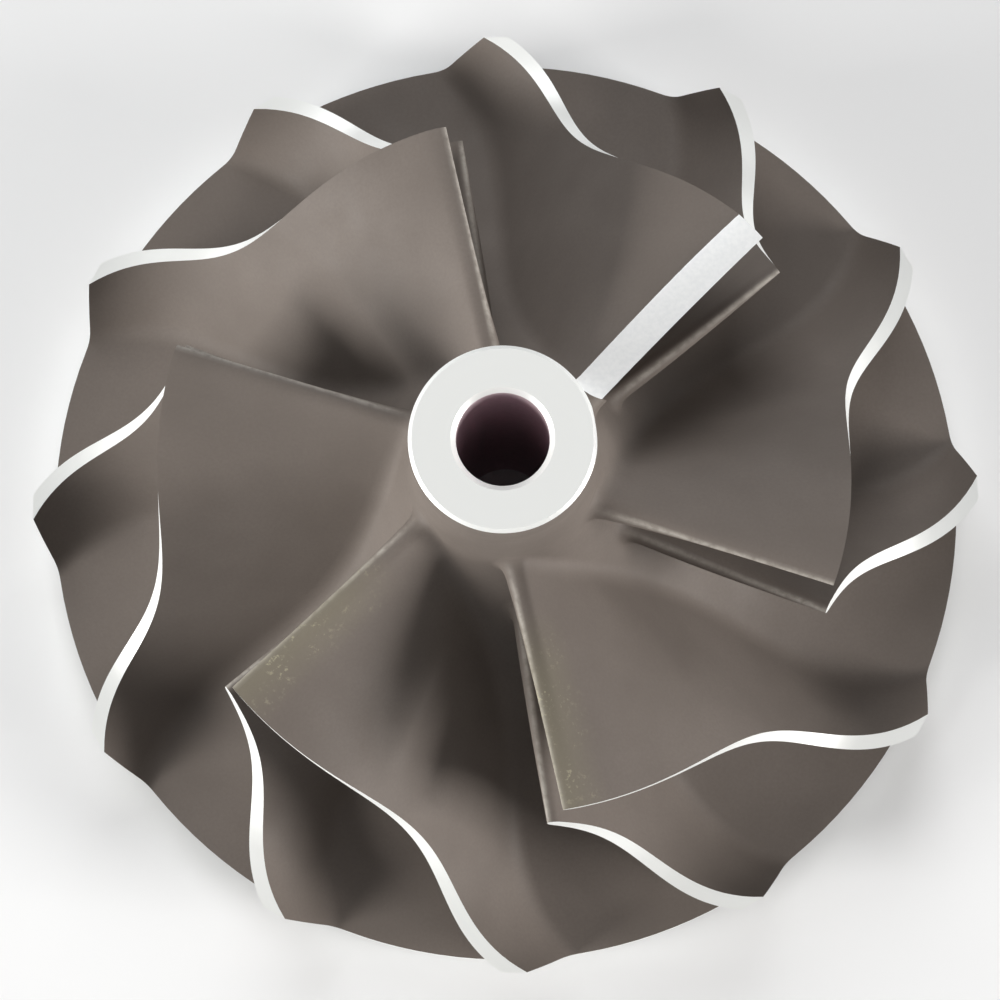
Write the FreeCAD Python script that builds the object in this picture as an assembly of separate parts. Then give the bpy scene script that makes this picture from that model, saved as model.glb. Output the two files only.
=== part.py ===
import FreeCAD, Part
import bisect
import math
import os

# Compressor wheel, mm and degrees. The axis is +Z, the nose is up and the seat face of the back lies on z = 0.
# A level in these names is a height above the front edge of the rim.

# turned sizes of the hub and disc
TIP_DIAMETER = 70.0           # over the blade tips
DISC_DIAMETER = 67.8          # the disc stops short of the tips
RIM_THICKNESS = 1.2
BORE_DIAMETER = 6.35
BORE_CHAMFER = 0.35
NOSE_DIAMETER = 12.8
NOSE_LEVEL = 33.6             # top face of the nose
NOSE_CHAMFER = 0.25
SEAT_DIAMETER = 19.0          # raised ring on the back that clamps on the shaft collar
SEAT_HEIGHT = 0.6
BACK_CONE = 0.8               # rise of the back face from the seat ring out to the rim

# blades
BLADE_PAIRS = 6               # one full blade and one splitter in each pair
EYE_DIAMETER = 49.1           # over the leading edges of the full blades
EYE_LEVEL = 21.6              # outer end of a leading edge
EDGE_RISE = 0.9               # the leading edge climbs by this from the eye to the hub
TIP_WIDTH = 4.9               # axial width at the outlet
SHROUD_POWER = 2.63           # 2 is a quarter ellipse, more is squarer
EDGE_THICKNESS = 0.85         # at the shroud
ROOT_THICKNESS = 1.9          # at the hub by the leading edge
FOOT_THICKNESS = 1.3          # at the hub by the outlet
BLEND_HEIGHT = 1.3            # the sloping blend along each root
BLEND_SPREAD = 0.8            # what the blend adds to each side at the hub
SPLITTER_START = 0.286        # share of the flow path that a splitter leaves out at the shroud
SPLITTER_ROOT_START = 0.19    # and at the hub, so that its leading edge stands square to the axis
EDGE_TAPER = 0.012            # share of the flow path in the chamfers of the leading edge
EDGE_FLAT = 0.45              # share of the thickness left between them

# blade wrap, measured against the blade's own shroud point at the outlet
SHROUD_WRAP = 51.46
SHROUD_FULLNESS = 49.1
SHROUD_SKEW = -79.2           # moves the fullness towards the eye
SHROUD_SWEEP = 57.99          # backsweep at the outlet
SHROUD_INLET = 72.39          # angle between blade and axis at the eye
FOOT_LEAD = 5.14              # the foot of the outlet edge stands ahead of its tip
EDGE_LEAN = 7.35              # the leading edge falls behind by this from the eye to the hub
HUB_SWEEP = 40.0
HUB_INLET = 36.0
FIRST_TIP = -1.81             # direction of splitter 0 at the outlet, from +X

# balance cuts
NOSE_CUT_TOP = 6.1            # distance of the slanting flat from the axis at the nose face
NOSE_CUT_SLANT = 8.0
MILLED_PAIR = 1               # the pair whose full blade was milled
MILLED_DEPTH = 0.7            # below the outer end of the leading edge
MILLED_INSIDE = 7.6           # radius where the cutter stopped
MILLED_WIDTH = 4.4
MILLED_TURN = 3.5             # the cutter's way lies ahead of the edge's outer end by this

PATH_STEPS = 400
STATIONS = 9
CONTOUR_STEPS = 8

TIP_RADIUS = TIP_DIAMETER / 2
DISC_RADIUS = DISC_DIAMETER / 2
BORE_RADIUS = BORE_DIAMETER / 2
NOSE_RADIUS = NOSE_DIAMETER / 2
EYE_RADIUS = EYE_DIAMETER / 2
SEAT_RADIUS = SEAT_DIAMETER / 2
HUB_RADIUS = DISC_RADIUS - NOSE_RADIUS      # of the quarter circle from the nose to the rim
RIM_BACK = SEAT_HEIGHT + BACK_CONE
RIM_FRONT = RIM_BACK + RIM_THICKNESS
PITCH = 360.0 / (2 * BLADE_PAIRS)
CENTRE = FreeCAD.Vector(0, 0, 0)
AXIS = FreeCAD.Vector(0, 0, 1)


def polar(radius, degrees, level):
    angle = math.radians(degrees)
    return FreeCAD.Vector(radius * math.cos(angle), radius * math.sin(angle), RIM_FRONT + level)


def hub_point(share):
    """A point (radius, level) on the hub's quarter circle, from the nose to the rim."""
    angle = share * math.pi / 2
    return DISC_RADIUS - HUB_RADIUS * math.cos(angle), HUB_RADIUS * (1 - math.sin(angle))


def shroud_point(share):
    """A point (radius, level) on the shroud's quarter superellipse, from the eye to the tips."""
    angle = share * math.pi / 2
    across = max(math.cos(angle), 0.0) ** (2 / SHROUD_POWER)
    down = math.sin(angle) ** (2 / SHROUD_POWER)
    return TIP_RADIUS - (TIP_RADIUS - EYE_RADIUS) * across, EYE_LEVEL - (EYE_LEVEL - TIP_WIDTH) * down


class Path:
    """A contour measured by its own length, run on in a straight line past the outlet."""

    def __init__(self, point, first):
        shares = [first + (1 - first) * i / PATH_STEPS for i in range(PATH_STEPS + 1)]
        self.points = [point(share) for share in shares]
        self.lengths = [0.0]
        for a, b in zip(self.points, self.points[1:]):
            self.lengths.append(self.lengths[-1] + math.dist(a, b))
        self.length = self.lengths[-1]

    def at(self, run):
        """The point (radius, level) at a share of the length."""
        reach = run * self.length
        i = min(max(bisect.bisect(self.lengths, reach), 1), PATH_STEPS)
        a, b = self.points[i - 1], self.points[i]
        k = (reach - self.lengths[i - 1]) / (self.lengths[i] - self.lengths[i - 1])
        return a[0] + (b[0] - a[0]) * k, a[1] + (b[1] - a[1]) * k


def share_at_level(point, level):
    """Where a falling contour passes a level."""
    low, high = 0.0, 1.0
    for _ in range(50):
        middle = (low + high) / 2
        if point(middle)[1] > level:
            low = middle
        else:
            high = middle
    return low


SHROUD = Path(shroud_point, 0.0)
HUB = Path(hub_point, share_at_level(hub_point, EYE_LEVEL + EDGE_RISE))


def wrap(back, path, turn, sweep, inlet):
    """Turning in degrees from the outlet up to a share `back` of the path, by the blade angles at both ends."""
    first = math.degrees(math.tan(math.radians(sweep)) * path.length / path.at(1.0)[0])
    last = math.degrees(math.tan(math.radians(inlet)) * path.length / path.at(0.0)[0])
    rise = back * back * (3 - 2 * back)
    return turn * rise + first * back * (1 - back) ** 2 - last * back * back * (1 - back)


def shroud_line(run):
    back = 1 - run
    radius, level = SHROUD.at(run)
    swell = (SHROUD_FULLNESS + SHROUD_SKEW * (1 - 2 * back)) * (back * (1 - back)) ** 2
    return polar(radius, -swell - wrap(back, SHROUD, SHROUD_WRAP, SHROUD_SWEEP, SHROUD_INLET), level)


def hub_line(run):
    radius, level = HUB.at(run)
    turn = SHROUD_WRAP + EDGE_LEAN + FOOT_LEAD
    return polar(radius, FOOT_LEAD - wrap(1 - run, HUB, turn, HUB_SWEEP, HUB_INLET), level)


def middle(run, height):
    """The blade's middle surface: straight from hub to shroud, `height` in mm above the hub."""
    foot, top = hub_line(run), shroud_line(run)
    return foot + (top - foot).normalize() * height


def span(run):
    return (shroud_line(run) - hub_line(run)).Length


def flow(run, height):
    """How the middle surface moves for a full path length."""
    step = 1e-3
    return (middle(run + step, height) - middle(run - step, height)) * (0.5 / step)


def half_thickness(run, height):
    root = ROOT_THICKNESS + (FOOT_THICKNESS - ROOT_THICKNESS) * run
    return (root + (EDGE_THICKNESS - root) * height / span(run)) / 2


def flank(run, side, height, flare):
    """A point on one side of the blade."""
    normal = flow(run, height).cross(shroud_line(run) - hub_line(run)).normalize()
    return middle(run, height) + normal * (side * (half_thickness(run, height) + flare))


def levels(run):
    """Heights and flares of the three lines that shape a flank: buried root, top of the blend, past the shroud."""
    root = -0.75 * BLEND_HEIGHT
    return (root, BLEND_SPREAD * (1 - root / BLEND_HEIGHT)), (BLEND_HEIGHT, 0.0), (span(run) + 1.0, 0.0)


def spline(points):
    curve = Part.BSplineCurve()
    last = len(points) - 1
    curve.interpolate(Points=points, Parameters=[i / last for i in range(last + 1)])
    return curve


def ruled(a, b):
    return Part.makeRuledSurface(a.toShape(), b.toShape())


def ring(root_start, start, level):
    """The outline of the blade at one level: both flanks, then the outlet and the chamfered leading edge."""
    start += (root_start - start) * (1 - levels(start)[level][0] / span(start))
    first = start + EDGE_TAPER
    runs = [first + (1.03 - first) * i / (STATIONS - 1) for i in range(STATIONS)]
    flanks = [spline([flank(run, side, *levels(run)[level]) for run in runs]) for side in (-1, 1)]
    near, far = [line.value(0.0) for line in flanks]
    centre = middle(start, levels(start)[level][0])
    front = [centre + (corner - (near + far) * 0.5) * EDGE_FLAT for corner in (near, far)]
    outlet = [line.value(1.0) for line in flanks]
    corners = [outlet, (near, front[0]), front, (front[1], far)]
    return flanks + [Part.LineSegment(a, b) for a, b in corners]


def blade(root_start, start):
    """One blade from its leading edge, at these shares of the path, to just past the outlet; root and top long."""
    rings = [ring(root_start, start, level) for level in range(3)]
    faces = [ruled(a, b) for low, high in zip(rings, rings[1:]) for a, b in zip(low, high)]
    for lines in (rings[0], rings[-1]):
        near, far = lines[3].StartPoint, lines[5].EndPoint
        faces.append(ruled(lines[0], lines[1]))
        faces.append(Part.Face(Part.makePolygon([near, lines[4].StartPoint, lines[4].EndPoint, far, near])))
    shell = Part.Compound(faces)
    shell.sewShape(1e-4)
    solid = Part.makeSolid(shell.Shells[0])
    if solid.Volume < 0:
        solid.reverse()
    return solid


def turned(profile):
    """The solid of revolution of a closed outline of edges in the XZ plane."""
    return Part.Face(Part.Wire(profile)).revolve(CENTRE, AXIS, 360)


def lines_through(points):
    corners = [FreeCAD.Vector(radius, 0, height) for radius, height in points]
    return [Part.makeLine(a, b) for a, b in zip(corners, corners[1:])]


def envelope():
    """The space the blades are turned to: the shroud contour, the outlet cone and the rim."""
    top = RIM_FRONT + NOSE_LEVEL
    places = [shroud_point(i / CONTOUR_STEPS) for i in range(CONTOUR_STEPS + 1)]
    contour = spline([FreeCAD.Vector(radius, 0, RIM_FRONT + level) for radius, level in places])
    outline = lines_through([
        (EYE_RADIUS, RIM_FRONT + EYE_LEVEL), (EYE_RADIUS, top), (0, top), (0, RIM_BACK),
        (DISC_RADIUS, RIM_BACK), (DISC_RADIUS, RIM_FRONT), (TIP_RADIUS, RIM_FRONT + TIP_WIDTH)])
    return turned(outline + [contour.toShape()])


def hub():
    """The nose, hub and disc with the bore and the seat ring."""
    top = RIM_FRONT + NOSE_LEVEL
    mouth = BORE_RADIUS + BORE_CHAMFER
    outline = lines_through([
        (DISC_RADIUS, RIM_FRONT), (DISC_RADIUS, RIM_BACK), (SEAT_RADIUS + SEAT_HEIGHT, SEAT_HEIGHT),
        (SEAT_RADIUS, 0), (mouth, 0), (BORE_RADIUS, BORE_CHAMFER), (BORE_RADIUS, top - BORE_CHAMFER),
        (mouth, top), (NOSE_RADIUS - NOSE_CHAMFER, top), (NOSE_RADIUS, top - NOSE_CHAMFER),
        (NOSE_RADIUS, RIM_FRONT + HUB_RADIUS)])
    places = [hub_point(i / 4) for i in range(5)]
    bend = [FreeCAD.Vector(radius, 0, RIM_FRONT + level) for radius, level in places]
    return turned(outline + [spline(bend).toShape()])


def nose_cut():
    """The block that leaves the slanting balance flat on the +X side of the nose."""
    size = NOSE_DIAMETER
    block = Part.makeBox(size, size, size, FreeCAD.Vector(0, -size / 2, -size))
    block.rotate(CENTRE, FreeCAD.Vector(0, 1, 0), -NOSE_CUT_SLANT)
    block.translate(FreeCAD.Vector(NOSE_CUT_TOP, 0, RIM_FRONT + NOSE_LEVEL))
    return block


def edge_cut(direction):
    """The path of the cutter that milled one leading edge flat, from its round inner end out past the eye."""
    reach = TIP_RADIUS
    floor = RIM_FRONT + EYE_LEVEL - MILLED_DEPTH
    half = MILLED_WIDTH / 2
    slot = Part.makeBox(reach, MILLED_WIDTH, NOSE_LEVEL, FreeCAD.Vector(MILLED_INSIDE + half, -half, floor))
    end = Part.makeCylinder(half, NOSE_LEVEL, FreeCAD.Vector(MILLED_INSIDE + half, 0, floor))
    cutter = slot.fuse(end)
    cutter.rotate(CENTRE, AXIS, direction)
    return cutter


def wheel():
    space = envelope()
    splitter = blade(SPLITTER_ROOT_START, SPLITTER_START).common(space)
    full = blade(0.0, 0.0).common(space)
    blades = []
    for pair in range(BLADE_PAIRS):
        for shape, turn in ((splitter, 2 * pair), (full, 2 * pair + 1)):
            placed = shape.copy()
            placed.rotate(CENTRE, AXIS, FIRST_TIP + PITCH * turn)
            if shape is full and pair == MILLED_PAIR:
                placed = placed.cut(edge_cut(FIRST_TIP + PITCH * turn - SHROUD_WRAP + MILLED_TURN))
            blades.append(placed)
    body = hub().cut(nose_cut())
    return body.fuse(blades)


os.makedirs("parts", exist_ok=True)
wheel().exportStep("parts/compressor_wheel.step")
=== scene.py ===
import math

import bmesh
import bpy
import numpy as np
from mathutils import Matrix, Vector


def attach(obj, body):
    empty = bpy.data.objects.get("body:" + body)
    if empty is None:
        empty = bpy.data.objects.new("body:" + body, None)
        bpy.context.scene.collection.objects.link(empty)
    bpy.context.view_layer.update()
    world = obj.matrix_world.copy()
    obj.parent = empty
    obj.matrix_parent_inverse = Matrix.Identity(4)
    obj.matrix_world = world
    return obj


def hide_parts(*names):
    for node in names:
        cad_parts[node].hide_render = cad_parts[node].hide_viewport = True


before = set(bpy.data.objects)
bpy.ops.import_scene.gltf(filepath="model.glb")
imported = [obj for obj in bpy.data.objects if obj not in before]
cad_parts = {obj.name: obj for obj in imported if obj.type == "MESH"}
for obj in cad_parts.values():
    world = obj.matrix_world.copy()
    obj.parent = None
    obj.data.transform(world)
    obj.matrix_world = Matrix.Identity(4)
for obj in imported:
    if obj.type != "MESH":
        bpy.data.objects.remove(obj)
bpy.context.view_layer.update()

# Compressor wheel standing on its back. Lengths are in mm until a mesh is made; MM takes them to metres.
# A level is a height above the front edge of the rim.
MM = 0.001

# turned sizes, as in the solid
RIM_FRONT = 2.6               # height of the rim's front edge above the floor
RIM_BACK = 1.4
SEAT_RADIUS = 9.5
SEAT_HEIGHT = 0.6
TIP_RADIUS = 35.0
DISC_RADIUS = 33.9
BORE_RADIUS = 3.175
BORE_CHAMFER = 0.35
NOSE_RADIUS = 6.4
NOSE_LEVEL = 33.6
NOSE_CHAMFER = 0.25
HUB_RADIUS = DISC_RADIUS - NOSE_RADIUS

# blades
EYE_RADIUS = 24.55
EYE_LEVEL = 21.6
EDGE_RISE = 0.9
TIP_WIDTH = 4.9
SHROUD_POWER = 2.63
EDGE_THICKNESS = 0.85
ROOT_THICKNESS = 1.9
FOOT_THICKNESS = 1.3
FILLET_HEIGHT = 1.2
FILLET_SPREAD = 0.8
SPLITTER_START = 0.286        # share of the flow path at the shroud
SPLITTER_ROOT_START = 0.19    # and at the hub
NOSE_SHARE = 0.025            # share of the flow path in the rounded leading edge

# blade wrap in degrees, against the blade's own shroud point at the outlet
SHROUD_WRAP = 51.46
SHROUD_FULLNESS = 49.1
SHROUD_SKEW = -79.2
SHROUD_SWEEP = 57.99
SHROUD_INLET = 72.39
FOOT_LEAD = 5.14
EDGE_LEAN = 7.35
HUB_SWEEP = 40.0
HUB_INLET = 36.0
FIRST_TIP = -1.81
BLADE_PAIRS = 6
PITCH = 180.0 / BLADE_PAIRS

# balance cuts
NOSE_CUT_TOP = 6.1
NOSE_CUT_SLANT = 8.0
MILLED_PAIR = 1
MILLED_DEPTH = 0.7
MILLED_INSIDE = 7.6
MILLED_WIDTH = 4.4
MILLED_TURN = 3.5
SCUFFED = (9, 11)             # blades with a speckled band along the leading edge

# painted highlight and scuffs on the cast skin
HIGHLIGHT_LINE_WIDTH = 0.28             # of the painted highlight line along a leading edge
SCUFF_WIDTH = 2.6             # of a speckled band

# rows of faces
NOSE_ROWS = 7                 # rows of faces round a leading edge
INLET_ROWS = 16               # between the leading edges of full blades and splitters
OUTLET_ROWS = 40
FILLET_STEPS = 5
HEIGHT_STEPS = 14
PASSAGE_STEPS = 10

HUB_START = math.asin(1 - (EYE_LEVEL + EDGE_RISE) / HUB_RADIUS)


def shroud_table():
    angle = np.linspace(0, math.pi / 2, 2001)
    across = np.clip(np.cos(angle), 0, 1) ** (2 / SHROUD_POWER)
    down = np.sin(angle) ** (2 / SHROUD_POWER)
    radius = TIP_RADIUS - (TIP_RADIUS - EYE_RADIUS) * across
    level = EYE_LEVEL - (EYE_LEVEL - TIP_WIDTH) * down
    run = np.concatenate([[0], np.cumsum(np.hypot(np.diff(radius), np.diff(level)))])
    return run, radius, level


RUN, RADIUS, LEVEL = shroud_table()
SHROUD_LENGTH = RUN[-1]
HUB_LENGTH = HUB_RADIUS * (math.pi / 2 - HUB_START)


def wrap(back, length, first_radius, last_radius, turn, sweep, inlet):
    first = math.degrees(math.tan(math.radians(sweep)) * length / first_radius)
    last = math.degrees(math.tan(math.radians(inlet)) * length / last_radius)
    rise = back * back * (3 - 2 * back)
    return turn * rise + first * back * (1 - back) ** 2 - last * back * back * (1 - back)


def polar(radius, degrees, level):
    angle = np.radians(degrees)
    return np.stack([radius * np.cos(angle), radius * np.sin(angle), level + 0 * radius], -1)


def hub_place(run):
    angle = HUB_START + (math.pi / 2 - HUB_START) * run
    past = np.maximum(run - 1, 0) * HUB_LENGTH
    angle = np.minimum(angle, math.pi / 2)
    return DISC_RADIUS - HUB_RADIUS * np.cos(angle) + past, HUB_RADIUS * (1 - np.sin(angle))


def hub_line(run):
    radius, level = hub_place(run)
    turn = SHROUD_WRAP + EDGE_LEAN + FOOT_LEAD
    first = hub_place(np.array(0.0))[0]
    turned = wrap(1 - run, HUB_LENGTH, DISC_RADIUS, first, turn, HUB_SWEEP, HUB_INLET)
    return polar(radius, FOOT_LEAD - turned, level)


def shroud_line(run):
    reach = run * SHROUD_LENGTH
    radius = np.interp(reach, RUN, RADIUS) + np.maximum(run - 1, 0) * SHROUD_LENGTH
    level = np.interp(reach, RUN, LEVEL) + np.maximum(-run, 0) * SHROUD_LENGTH
    back = 1 - run
    swell = (SHROUD_FULLNESS + SHROUD_SKEW * (1 - 2 * back)) * (back * (1 - back)) ** 2
    turned = wrap(back, SHROUD_LENGTH, TIP_RADIUS, EYE_RADIUS, SHROUD_WRAP, SHROUD_SWEEP, SHROUD_INLET)
    return polar(radius, -swell - turned, level)


def unit(v):
    return v / np.linalg.norm(v, axis=-1, keepdims=True)


def middle(run, height):
    foot, top = hub_line(run), shroud_line(run)
    return foot + unit(top - foot) * height[..., None]


def span(run):
    return np.linalg.norm(shroud_line(run) - hub_line(run), axis=-1)


def flow(run, height):
    step = 1e-3
    return unit(middle(run + step, height) - middle(run - step, height))


def side_normal(run, height):
    return unit(np.cross(flow(run, height), shroud_line(run) - hub_line(run)))


def flank(run, height, side, round_off):
    """A point on the blade's side; round_off draws the two sides together at the leading edge."""
    root = ROOT_THICKNESS + (FOOT_THICKNESS - ROOT_THICKNESS) * run
    half = (root + (EDGE_THICKNESS - root) * height / span(run)) / 2
    return middle(run, height) + side_normal(run, height) * (side * half * round_off)[..., None]


def solve(error, low, high):
    """Where error changes from negative at low to positive at high, for whole arrays."""
    low, high = low + 0.0, high + 0.0
    for _ in range(27):
        centre = (low + high) / 2
        positive = error(centre) > 0
        high = np.where(positive, centre, high)
        low = np.where(positive, low, centre)
    return (low + high) / 2


def shroud_error(p):
    """Positive outside the turned shroud contour."""
    radius = np.hypot(p[..., 0], p[..., 1])
    a = np.clip((TIP_RADIUS - radius) / (TIP_RADIUS - EYE_RADIUS), 0, None)
    b = np.clip((EYE_LEVEL - p[..., 2]) / (EYE_LEVEL - TIP_WIDTH), 0, None)
    return 1 - a ** SHROUD_POWER - b ** SHROUD_POWER


def hub_error(p):
    """Positive in the open passage, above the hub."""
    radius = np.hypot(p[..., 0], p[..., 1])
    return HUB_RADIUS - np.hypot(DISC_RADIUS - radius, HUB_RADIUS - p[..., 2])


def outlet_error(p):
    """Positive past the cone on which the outlet edges end."""
    radius = np.hypot(p[..., 0], p[..., 1])
    return radius - DISC_RADIUS - (TIP_RADIUS - DISC_RADIUS) * np.clip(p[..., 2] / TIP_WIDTH, 0, 1.2)


def on_hub(p):
    """The nearest point of the hub's quarter circle."""
    radius = np.hypot(p[..., 0], p[..., 1])
    out, up = DISC_RADIUS - radius, HUB_RADIUS - p[..., 2]
    out = np.maximum(out, 0)
    scale = HUB_RADIUS / np.hypot(out, up)
    at = DISC_RADIUS - out * scale
    return np.stack([p[..., 0] * at / radius, p[..., 1] * at / radius, HUB_RADIUS - up * scale], -1)


def hub_normal(p):
    radius = np.hypot(p[..., 0], p[..., 1])
    out, up = np.maximum(DISC_RADIUS - radius, 0), HUB_RADIUS - p[..., 2]
    n = np.stack([p[..., 0] / radius * out, p[..., 1] / radius * out, up], -1)
    return unit(n)


def blade_rows(start):
    """Shares of the path and nose sines of a blade's rows."""
    angle = np.linspace(0, math.pi / 2, NOSE_ROWS + 1)
    nose = start + NOSE_SHARE * (1 - np.cos(angle))
    inlet = []
    if start == 0:
        inlet = np.linspace(nose[-1], SPLITTER_START - 0.02, INLET_ROWS + 1)[1:]
        angles = np.linspace(0, 1, NOSE_ROWS + 1)[1:]
        inlet = np.concatenate([inlet, inlet[-1] + (SPLITTER_START + NOSE_SHARE - inlet[-1]) * angles])
        nose = np.concatenate([nose, inlet])
    run = np.concatenate([nose, np.linspace(nose[-1], 1, OUTLET_ROWS + 1)[1:]])
    sine = np.ones_like(run)
    sine[:NOSE_ROWS + 1] = np.sin(angle)
    return run, sine


def warped(run, height_share):
    """Rows moved upstream near the hub, so that the splitter's root starts at its own share of the path."""
    rise = np.minimum(run / SPLITTER_START, (1 - run) / (1 - SPLITTER_START))
    return run + (SPLITTER_ROOT_START - SPLITTER_START) * (1 - height_share) * rise


def to_rim(toe, late):
    """Moves the outlet end of a row of toes along the hub, so that its last point lies on the rim."""
    radius = np.hypot(toe[-1, 0], toe[-1, 1])
    if radius > DISC_RADIUS - 1e-6:
        return toe
    ahead = toe[-1] - toe[-3]
    share = solve(lambda k: np.hypot(toe[-1, 0] + ahead[0] * k, toe[-1, 1] + ahead[1] * k) - DISC_RADIUS,
                  np.array([0.0]), np.array([8.0]))
    moved = on_hub(toe + ahead * share * late[:, None])
    moved[-1, 2] = 0
    return moved


def blade_side(start, side):
    """Grid of points over one side, rows along the flow and columns from the hub to the shroud edge."""
    run, sine = blade_rows(start)
    cosine = np.sqrt(np.maximum(1 - sine * sine, 0))
    side = np.full_like(run, side)
    late = ((run - start) / (1 - start)) ** 6

    def trimmed(height_of, height_share):
        """Rows shifted so that the last one ends on the outlet cone."""
        one = np.array([1.0])
        error = lambda r: outlet_error(flank(r, height_of(r, one), side[-1:], one))
        near, end = one * 0.99, one
        miss, left = error(near), error(end)
        for _ in range(5):
            if abs(left - miss)[0] < 1e-9:
                break
            near, end, miss = end, end - left * (end - near) / (left - miss), left
            left = error(end)
        return warped(run, height_share) + (end - 1) * late

    def foot_height(r, s):
        error = lambda h: hub_error(flank(r, h, side[-len(r):], s))
        return solve(error, r * 0 - 2.5, r * 0 + 2.5)

    def top_height(r, s):
        error = lambda h: shroud_error(flank(r, h, side[-len(r):], s))
        return solve(error, span(r) * 0.5, span(r) + 2.0)

    foot_run = trimmed(foot_height, 0)
    foot_height_all = foot_height(foot_run, sine)
    foot = flank(foot_run, foot_height_all, side, sine)
    outward = side_normal(foot_run, foot_height_all) * (side * sine)[:, None]
    outward = outward - flow(foot_run, foot_height_all) * cosine[:, None]
    normal = hub_normal(foot)
    outward = unit(outward - normal * (outward * normal).sum(-1, keepdims=True))
    toe = to_rim(on_hub(foot + outward * FILLET_SPREAD), late)
    low_share = FILLET_HEIGHT / span(np.array(start))
    low_run = trimmed(lambda r, s: foot_height(r, s) + FILLET_HEIGHT, low_share)
    low_height = foot_height(low_run, sine) + FILLET_HEIGHT
    low = flank(low_run, low_height, side, sine)
    columns = []
    for k in np.linspace(0, 1, FILLET_STEPS + 1):
        columns.append(toe * (1 - k) ** 2 + foot * 2 * k * (1 - k) + low * k * k)
    for k in np.linspace(0, 1, HEIGHT_STEPS + 1)[1:]:
        mix = lambda r, s: (foot_height(r, s) + FILLET_HEIGHT) * (1 - k) + top_height(r, s) * k
        r = trimmed(mix, low_share + (1 - low_share) * k)
        columns.append(flank(r, mix(r, sine), side, sine))
    return np.stack(columns, 1)


def turn(points, degrees):
    angle = math.radians(degrees)
    c, s = math.cos(angle), math.sin(angle)
    x, y, z = points[..., 0], points[..., 1], points[..., 2]
    return np.stack([c * x - s * y, s * x + c * y, z], -1)


class Skin:
    """Faces gathered as corner points, each with a material number."""

    def __init__(self):
        self.faces = []
        self.kinds = []

    def face(self, corners, kind):
        self.faces.append(np.asarray(corners))
        self.kinds.append(kind)

    def grid(self, g, kind, flip=False):
        for i in range(g.shape[0] - 1):
            for j in range(g.shape[1] - 1):
                quad = [g[i, j], g[i + 1, j], g[i + 1, j + 1], g[i, j + 1]]
                self.face(quad[::-1] if flip else quad, kind)


CAST, TURNED, MILLED, BORE = range(4)


def hub_grid(left, right, columns):
    """Points on the hub between two rows of toes, evenly spaced in angle and in path."""
    def places(p):
        radius = np.hypot(p[:, 0], p[:, 1])
        down = np.arctan2(np.maximum(DISC_RADIUS - radius, 0), HUB_RADIUS - p[:, 2])
        return down, np.arctan2(p[:, 1], p[:, 0])

    down_a, angle_a = places(left)
    down_b, angle_b = places(right)
    angle_b = angle_a + (angle_b - angle_a) % (2 * math.pi)
    rows = []
    for k in np.linspace(0, 1, columns + 1):
        down, angle = down_a + (down_b - down_a) * k, angle_a + (angle_b - angle_a) * k
        radius = DISC_RADIUS - HUB_RADIUS * np.sin(down)
        level = HUB_RADIUS * (1 - np.cos(down))
        rows.append(np.stack([radius * np.cos(angle), radius * np.sin(angle), level], -1))
    grid = np.stack(rows, 1)
    grid[:, 0], grid[:, -1] = left, right
    return grid


def ring(loop, radius, level):
    """The loop's directions at another radius and level."""
    angle = np.arctan2(loop[:, 1], loop[:, 0])
    return np.stack([radius * np.cos(angle), radius * np.sin(angle), level + 0 * angle], -1)


def zipped(skin, inner, outer, kind):
    """Triangles that look down between two closed loops of unlike counts, both anticlockwise from above."""
    def order(loop):
        angle = np.arctan2(loop[:, 1], loop[:, 0]) % (2 * math.pi)
        first = np.argmin(angle)
        return np.roll(loop, -first, 0), np.roll(angle, -first)

    a, angle_a = order(inner)
    b, angle_b = order(outer)
    i = j = 0
    while i < len(a) or j < len(b):
        next_a = angle_a[i + 1] if i + 1 < len(a) else angle_a[0] + 2 * math.pi
        next_b = angle_b[j + 1] if j + 1 < len(b) else angle_b[0] + 2 * math.pi
        if j >= len(b) or (i < len(a) and next_a <= next_b):
            skin.face([a[i % len(a)], b[j % len(b)], a[(i + 1) % len(a)]][::-1], kind)
            i += 1
        else:
            skin.face([a[i % len(a)], b[j % len(b)], b[(j + 1) % len(b)]][::-1], kind)
            j += 1


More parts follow.
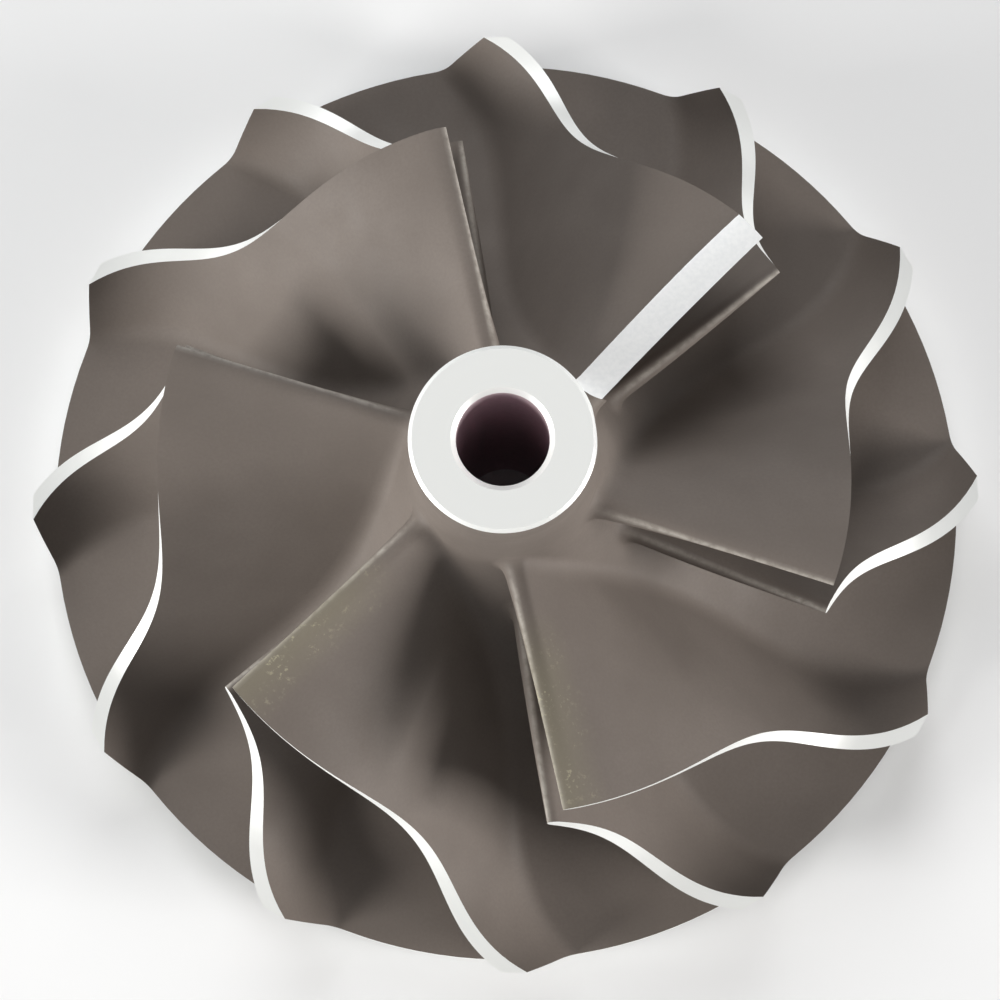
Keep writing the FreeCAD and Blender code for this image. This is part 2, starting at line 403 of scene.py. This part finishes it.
def wheel_skin():
    skin = Skin()
    sides = {start: {s: blade_side(start, s) for s in (-1, 1)} for start in (0.0, SPLITTER_START)}
    # which of the two sides looks anticlockwise
    probe = {s: sides[0.0][s][-1, -1] for s in (-1, 1)}
    ahead = max((-1, 1), key=lambda s: math.atan2(probe[s][1], probe[s][0]))
    blades = []
    for k in range(2 * BLADE_PAIRS):
        start = 0.0 if k % 2 else SPLITTER_START
        at = FIRST_TIP + PITCH * k
        ccw, cw = turn(sides[start][ahead], at), turn(sides[start][-ahead], at)
        blades.append((ccw, cw))
        skin.grid(ccw, CAST, flip=False)
        skin.grid(cw, CAST, flip=True)
        skin.grid(np.stack([cw[:, -1], (cw[:, -1] + ccw[:, -1]) / 2, ccw[:, -1]], 1), TURNED, flip=True)
        outlet_middle = (cw[-1] + ccw[-1]) / 2
        for a, b in ((cw[-1], outlet_middle), (outlet_middle, ccw[-1])):
            skin.grid(np.stack([a, b], 0), CAST, flip=True)
    rows = len(blades[1][0])
    late = rows - len(blades[0][0])
    first_loop, last_loop = [], []
    for k in range(1, 2 * BLADE_PAIRS, 2):
        a, b = blades[k][0][:, 0], blades[(k + 2) % (2 * BLADE_PAIRS)][1][:, 0]
        between = blades[(k + 1) % (2 * BLADE_PAIRS)]
        inner_a, inner_b = between[1][:, 0], between[0][:, 0]
        early = hub_grid(a[:late + 1], b[:late + 1], 2 * PASSAGE_STEPS)
        early[late, PASSAGE_STEPS] = inner_a[0]
        one = hub_grid(a[late:], inner_a, PASSAGE_STEPS)
        two = hub_grid(inner_b, b[late:], PASSAGE_STEPS)
        early[late, :PASSAGE_STEPS + 1] = one[0]
        early[late, PASSAGE_STEPS:] = two[0]
        for g in (early, one, two):
            skin.grid(g, CAST)
        first_loop.append(early[0, :-1])
        for g, blade in ((one, between), (two, blades[(k + 2) % (2 * BLADE_PAIRS)])):
            last_loop.append(g[-1])
            last_loop.append(((blade[0][-1, 0] + blade[1][-1, 0]) / 2)[None])
    upper, lower = np.concatenate(first_loop), np.concatenate(last_loop)

    def revolve(loop, profile, kinds):
        previous = loop
        for (radius, level), kind in zip(profile, kinds):
            following = ring(loop, radius, level)
            n = len(loop)
            for i in range(n):
                j = (i + 1) % n
                skin.face([previous[i], previous[j], following[j], following[i]], kind)
            previous = following
        return previous

    nose = []
    begin = hub_parameter(upper)
    for k in range(1, 9):
        down = begin + (math.pi / 2 - begin) * k / 8
        nose.append((DISC_RADIUS - HUB_RADIUS * math.sin(down), HUB_RADIUS * (1 - math.cos(down))))
    kinds = [CAST] * 8
    bottom = -RIM_FRONT
    mouth = BORE_RADIUS + BORE_CHAMFER
    nose += [(NOSE_RADIUS, NOSE_LEVEL - NOSE_CHAMFER), (NOSE_RADIUS - NOSE_CHAMFER, NOSE_LEVEL),
             (mouth, NOSE_LEVEL), (BORE_RADIUS, NOSE_LEVEL - BORE_CHAMFER),
             (BORE_RADIUS, bottom + BORE_CHAMFER), (mouth, bottom),
             (SEAT_RADIUS, bottom), (SEAT_RADIUS + SEAT_HEIGHT, bottom + SEAT_HEIGHT)]
    kinds += [CAST, TURNED, TURNED, TURNED, BORE, TURNED, TURNED, TURNED]
    inner = revolve(upper, nose, kinds)
    back = RIM_BACK - RIM_FRONT
    rim = ring(lower, DISC_RADIUS, back)
    n = len(lower)
    for i in range(n):
        j = (i + 1) % n
        skin.face([lower[j], lower[i], rim[i], rim[j]], TURNED)
    zipped(skin, inner, rim, TURNED)
    return skin


def hub_parameter(loop):
    radius = np.hypot(loop[:, 0], loop[:, 1])
    return float(np.mean(np.arctan2(DISC_RADIUS - radius, HUB_RADIUS - loop[:, 2])))


def mesh_from(skin, name, materials):
    """One mesh in metres with shared corners and a material number for each face."""
    sizes = [len(f) for f in skin.faces]
    points = np.concatenate(skin.faces) * MM
    points[:, 2] += RIM_FRONT * MM
    keys = np.round(points / 2e-7).astype(np.int64)
    _, first, inverse = np.unique(keys, axis=0, return_index=True, return_inverse=True)
    inverse = inverse.ravel()
    faces, kinds, at = [], [], 0
    for size, kind in zip(sizes, skin.kinds):
        corners = inverse[at:at + size].tolist()
        at += size
        kept = [c for i, c in enumerate(corners) if c != corners[i - 1]]
        if len(kept) > 2:
            faces.append(kept)
            kinds.append(kind)
    mesh = bpy.data.meshes.new(name)
    mesh.from_pydata(points[first].tolist(), [], faces)
    for material in materials:
        mesh.materials.append(material)
    mesh.polygons.foreach_set("material_index", kinds)
    mesh.validate()
    tidy = bmesh.new()
    tidy.from_mesh(mesh)
    bmesh.ops.recalc_face_normals(tidy, faces=tidy.faces)
    tidy.to_mesh(mesh)
    tidy.free()
    obj = bpy.data.objects.new(name, mesh)
    bpy.context.scene.collection.objects.link(obj)
    return obj


def block(name, corners, faces, material):
    mesh = bpy.data.meshes.new(name)
    mesh.from_pydata([[c * MM for c in corner] for corner in corners], [], faces)
    mesh.materials.append(material)
    obj = bpy.data.objects.new(name, mesh)
    bpy.context.scene.collection.objects.link(obj)
    return obj


def prism(name, outline, low, high, matrix, material):
    """A straight block over an anticlockwise outline, placed by a matrix in mm."""
    n = len(outline)
    corners = [matrix @ Vector((x, y, z)) for z in (low, high) for x, y in outline]
    sides = [(i, (i + 1) % n, n + (i + 1) % n, n + i) for i in range(n)]
    return block(name, corners, [tuple(reversed(range(n))), tuple(range(n, 2 * n))] + sides, material)


def cut(obj, cutter):
    """Takes the cutter's space away; the new faces carry the cutter's material."""
    step = obj.modifiers.new("cut", "BOOLEAN")
    step.operation = "DIFFERENCE"
    step.solver = "EXACT"
    step.material_mode = "TRANSFER"
    step.object = cutter
    seen = obj.evaluated_get(bpy.context.evaluated_depsgraph_get())
    mesh = bpy.data.meshes.new_from_object(seen)
    obj.modifiers.clear()
    obj.data = mesh
    bpy.data.objects.remove(cutter)


def nose_block(material):
    size = 2 * NOSE_RADIUS
    place = Matrix.Translation((NOSE_CUT_TOP, 0, RIM_FRONT + NOSE_LEVEL)) @ Matrix.Rotation(
        math.radians(-NOSE_CUT_SLANT), 4, "Y")
    return prism("nose_block", [(0, -size), (size, -size), (size, size), (0, size)], -5, 5, place, material)


def edge_block(material):
    """The cutter's path over one leading edge: round inner end, straight outwards."""
    half = MILLED_WIDTH / 2
    centre = MILLED_INSIDE + half
    round_end = [math.radians(a) for a in range(90, 271, 6)]
    outline = [(centre + half * math.cos(a), half * math.sin(a)) for a in round_end]
    outline += [(TIP_RADIUS, -half), (TIP_RADIUS, half)]
    at = FIRST_TIP + PITCH * (2 * MILLED_PAIR + 1) - SHROUD_WRAP + MILLED_TURN
    place = Matrix.Rotation(math.radians(at), 4, "Z")
    level = RIM_FRONT + EYE_LEVEL
    return prism("edge_block", outline, level - MILLED_DEPTH, level + 20, place, material)


class Shader:
    """A Principled material with a few helpers for its procedural inputs."""

    def __init__(self, name, rough, metal):
        self.material = bpy.data.materials.new(name)
        self.material.use_nodes = True
        self.tree = self.material.node_tree
        self.main = self.tree.nodes["Principled BSDF"]
        self.main.inputs["Roughness"].default_value = rough
        self.main.inputs["Metallic"].default_value = metal
        self.where = self.tree.nodes.new("ShaderNodeTexCoord").outputs["Object"]

    def link(self, a, b):
        self.tree.links.new(a, b)

    def colour(self, rgb):
        self.main.inputs["Base Color"].default_value = (*rgb, 1)

    def noise(self, size_mm, detail=3.0, rough=0.55, where=None):
        node = self.tree.nodes.new("ShaderNodeTexNoise")
        node.inputs["Scale"].default_value = 1 / (size_mm * MM)
        node.inputs["Detail"].default_value = detail
        node.inputs["Roughness"].default_value = rough
        self.link(where or self.where, node.inputs["Vector"])
        return node.outputs["Fac"]

    def band(self, value, low, high, to_low=0.0, to_high=1.0):
        node = self.tree.nodes.new("ShaderNodeMapRange")
        for name, number in zip(("From Min", "From Max", "To Min", "To Max"), (low, high, to_low, to_high)):
            node.inputs[name].default_value = number
        self.link(value, node.inputs["Value"])
        return node.outputs["Result"]

    def sums(self, kind, a, b):
        node = self.tree.nodes.new("ShaderNodeMath")
        node.operation = kind
        for socket, value in zip(node.inputs, (a, b)):
            if isinstance(value, (int, float)):
                socket.default_value = value
            else:
                self.link(value, socket)
        return node.outputs["Value"]

    def mix(self, share, a, b):
        node = self.tree.nodes.new("ShaderNodeMix")
        node.data_type = "RGBA"
        self.link(share, node.inputs["Factor"])
        for socket, value in ((node.inputs[6], a), (node.inputs[7], b)):
            if isinstance(value, tuple):
                socket.default_value = (*value, 1)
            else:
                self.link(value, socket)
        return node.outputs[2]

    def bump(self, height, strength, depth_mm):
        node = self.tree.nodes.new("ShaderNodeBump")
        node.inputs["Strength"].default_value = strength
        node.inputs["Distance"].default_value = depth_mm * MM
        self.link(height, node.inputs["Height"])
        self.link(node.outputs["Normal"], self.main.inputs["Normal"])

    def attribute(self, name):
        node = self.tree.nodes.new("ShaderNodeAttribute")
        node.attribute_name = name
        return node.outputs["Fac"]


def cast_skin():
    """Grey-brown cast skin: fine grain, soft cloudy tone, and a painted highlight, a lighter line along each
    leading edge where its rounding catches the light.
    """
    shader = Shader("cast_skin", 0.6, 0.0)
    shader.main.inputs["Specular IOR Level"].default_value = 0.2
    cloud = shader.band(shader.noise(9.0, 2.0), 0.35, 0.65)
    grain = shader.noise(0.22, 2.0)
    tone = shader.mix(cloud, (0.160, 0.136, 0.119), (0.186, 0.159, 0.140))
    tone = shader.mix(shader.band(grain, 0.3, 0.7, 0.0, 0.3), tone, (0.135, 0.114, 0.10))
    patchy = shader.band(shader.noise(0.6, 3.0), 0.3, 0.6, 0.35, 1.0)
    # painted highlight: a lighter line along each leading edge, broken up by noise
    painted_highlight = shader.sums("MULTIPLY", shader.attribute("edge"), patchy)
    tone = shader.mix(painted_highlight, tone, (0.40, 0.37, 0.33))
    specks = shader.band(shader.noise(0.4, 4.0, 0.7), 0.56, 0.66)
    specks = shader.sums("MULTIPLY", specks, shader.band(shader.noise(2.2, 2.0), 0.4, 0.62))
    haze = shader.sums("MULTIPLY", shader.attribute("scuff"), 0.42)
    tone = shader.mix(haze, tone, (0.24, 0.22, 0.15))
    tone = shader.mix(shader.sums("MULTIPLY", shader.attribute("scuff"), specks), tone, (0.38, 0.35, 0.25))
    shader.link(tone, shader.main.inputs["Base Color"])
    shader.link(shader.band(shader.noise(3.0), 0.3, 0.7, 0.55, 0.68), shader.main.inputs["Roughness"])
    shader.bump(grain, 0.2, 0.02)
    return shader.material


def turned_metal(name, tone, rough):
    """Bright turned aluminium with fine rings about the axis."""
    shader = Shader(name, rough, 0.2)
    shader.colour(tone)
    split = shader.tree.nodes.new("ShaderNodeSeparateXYZ")
    shader.link(shader.where, split.inputs["Vector"])
    x, y, z = split.outputs
    squares = shader.sums("ADD", shader.sums("MULTIPLY", x, x), shader.sums("MULTIPLY", y, y))
    radius = shader.sums("SQRT", squares, 0)
    join = shader.tree.nodes.new("ShaderNodeCombineXYZ")
    shader.link(radius, join.inputs["X"])
    shader.link(z, join.inputs["Y"])
    rings = shader.noise(0.12, 2.0, 0.5, join.outputs["Vector"])
    shader.link(shader.band(rings, 0.3, 0.7, rough - 0.06, rough + 0.08), shader.main.inputs["Roughness"])
    shader.bump(rings, 0.3, 0.008)
    return shader.material


def milled_metal():
    """Bright milled aluminium with a faint feed pattern."""
    shader = Shader("milled", 0.42, 0.15)
    marks = shader.noise(0.3, 1.0)
    shader.link(shader.mix(shader.band(marks, 0.3, 0.7), (0.90, 0.91, 0.91), (0.96, 0.965, 0.96)),
                shader.main.inputs["Base Color"])
    shader.bump(marks, 0.2, 0.01)
    return shader.material


def bore_metal():
    shader = Shader("bore", 0.5, 0.5)
    shader.link(shader.mix(shader.band(shader.noise(0.5), 0.3, 0.7), (0.68, 0.54, 0.58), (0.76, 0.61, 0.65)),
                shader.main.inputs["Base Color"])
    return shader.material


def floor_paper():
    shader = Shader("floor_paper", 0.8, 0.0)
    shader.link(shader.mix(shader.noise(40.0), (0.86, 0.862, 0.865), (0.88, 0.883, 0.885)),
                shader.main.inputs["Base Color"])
    return shader.material


def mark_highlight_and_scuff(mesh):
    """Point values for the cast skin: a painted highlight line along each leading edge, and the speckled
    bands beside two of them.
    """
    points = np.empty(3 * len(mesh.vertices), dtype=np.float32)
    mesh.vertices.foreach_get("co", points)
    points = points.reshape(-1, 3) / MM - np.array([0, 0, RIM_FRONT])
    edge, scuff = np.zeros(len(points)), np.zeros(len(points))
    for k in range(2 * BLADE_PAIRS):
        root_start, start = (0.0, 0.0) if k % 2 else (SPLITTER_ROOT_START, SPLITTER_START)
        at = FIRST_TIP + PITCH * k
        root = turn(hub_line(np.array(root_start)), at)
        tip = turn(shroud_line(np.array(start)), at)
        along = np.clip(((points - root) @ (tip - root)) / ((tip - root) @ (tip - root)), 0, 1)
        away = np.linalg.norm(points - root - along[:, None] * (tip - root), axis=1)
        # painted highlight line along this blade's leading edge
        edge = np.maximum(edge, np.clip(1.25 - away / HIGHLIGHT_LINE_WIDTH, 0, 1) * np.clip(along * 5, 0, 1))
        if k in SCUFFED:
            near = np.clip(1.3 - away / SCUFF_WIDTH, 0, 1)
            scuff = np.maximum(scuff, near * np.clip(along * 4 - 0.8, 0, 1))
    for name, values in (("edge", edge), ("scuff", scuff)):
        mesh.attributes.new(name, "FLOAT", "POINT").data.foreach_set("value", values.astype(np.float32))


milled = milled_metal()
finishes = [cast_skin(), turned_metal("turned", (0.87, 0.88, 0.86), 0.38), milled, bore_metal()]
wheel = mesh_from(wheel_skin(), "wheel_body", finishes)
cut(wheel, nose_block(milled))
cut(wheel, edge_block(milled))
mark_highlight_and_scuff(wheel.data)
wheel.data.polygons.foreach_set("use_smooth", [True] * len(wheel.data.polygons))
wheel.data.set_sharp_from_angle(angle=math.radians(35))

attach(wheel, "root")
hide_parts("compressor_wheel")

floor_mesh = bpy.data.meshes.new("floor")
floor_mesh.from_pydata([(-3, -3, 0), (3, -3, 0), (3, 3, 0), (-3, 3, 0)], [], [(0, 1, 2, 3)])
floor_mesh.materials.append(floor_paper())
floor = bpy.data.objects.new("floor", floor_mesh)
bpy.context.scene.collection.objects.link(floor)

DISTANCE = 8.9886 * TIP_RADIUS * MM
TILT = math.radians(7.937)
ROLL = math.radians(2.906)
tilt = Matrix(((1, 0, 0), (0, math.cos(TILT), math.sin(TILT)), (0, -math.sin(TILT), math.cos(TILT))))
roll = Matrix(((math.cos(ROLL), -math.sin(ROLL), 0), (math.sin(ROLL), math.cos(ROLL), 0), (0, 0, 1)))
facing = (roll @ tilt).transposed()
aside = Vector((-0.01193, 0.01421, 0)) * TIP_RADIUS * MM
camera = bpy.data.objects.new("camera", bpy.data.cameras.new("camera"))
camera.data.lens = 150.5
camera.data.sensor_width = 36
place = facing @ (aside + Vector((0, 0, DISTANCE))) + Vector((0, 0, RIM_FRONT * MM))
camera.matrix_world = Matrix.Translation(place) @ facing.to_4x4()
bpy.context.scene.collection.objects.link(camera)
bpy.context.scene.camera = camera

world = bpy.data.worlds.new("studio")
bpy.context.scene.world = world
world.use_nodes = True
world.node_tree.nodes["Background"].inputs["Color"].default_value = (0.9, 0.92, 0.95, 1)
world.node_tree.nodes["Background"].inputs["Strength"].default_value = 0.1
bpy.context.scene.view_settings.view_transform = "Standard"


def lamp(name, azimuth, polar_angle, distance, size, power, colour):
    """A soft box aimed at the wheel; azimuth from +X and polar angle from +Z in degrees."""
    light = bpy.data.lights.new(name, "AREA")
    light.size = size
    light.energy = power
    light.color = colour
    obj = bpy.data.objects.new(name, light)
    a, t = math.radians(azimuth), math.radians(polar_angle)
    place = Vector((math.sin(t) * math.cos(a), math.sin(t) * math.sin(a), math.cos(t))) * distance
    obj.location = place
    obj.rotation_euler = (Vector((0, 0, 0.01)) - place).to_track_quat("-Z", "Y").to_euler()
    bpy.context.scene.collection.objects.link(obj)


lamp("left", 200, 74, 0.6, 0.28, 4.7, (1.0, 0.99, 0.97))
lamp("right", 338, 74, 0.6, 0.24, 3.8, (1.0, 0.98, 0.96))
lamp("back", 95, 50, 0.6, 0.40, 1.9, (0.98, 0.99, 1.0))
lamp("top", 0, 2, 0.6, 0.5, 0.35, (1.0, 1.0, 1.0))
